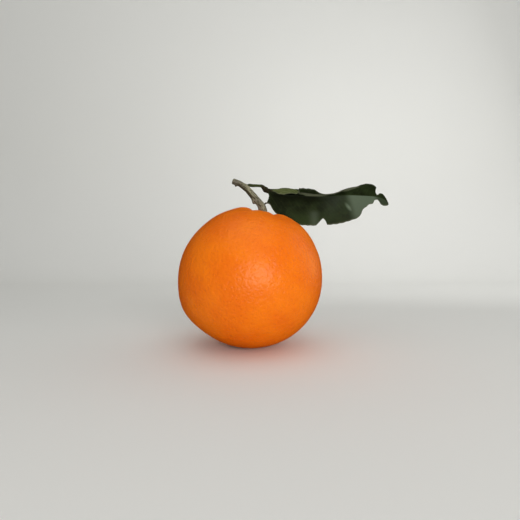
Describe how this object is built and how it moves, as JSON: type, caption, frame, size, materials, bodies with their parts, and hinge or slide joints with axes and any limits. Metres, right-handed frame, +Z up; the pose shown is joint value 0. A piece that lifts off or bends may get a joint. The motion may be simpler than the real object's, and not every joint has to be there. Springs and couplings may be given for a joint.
{
  "type": "orange",
  "caption": "Large ripe orange with a furrowed stem cavity, green button, short bent twig and one curled leaf; stands on a small flat spot.",
  "frame": {"origin": "middle of the flat spot that the fruit rests on", "axes": "+Z up, +X the way the leaf points, -Y the side that the leaf's hanging half faces"},
  "size_m": [0.1547, 0.101, 0.1197],
  "materials": {
    "peel": "satin",
    "button": "matte",
    "bark": "matte",
    "leaf": "satin"
  },
  "bodies": {
    "root": {"fruit": "peel", "button": "button", "twig": "bark", "leaf": "leaf"}
  },
  "joints": []
}
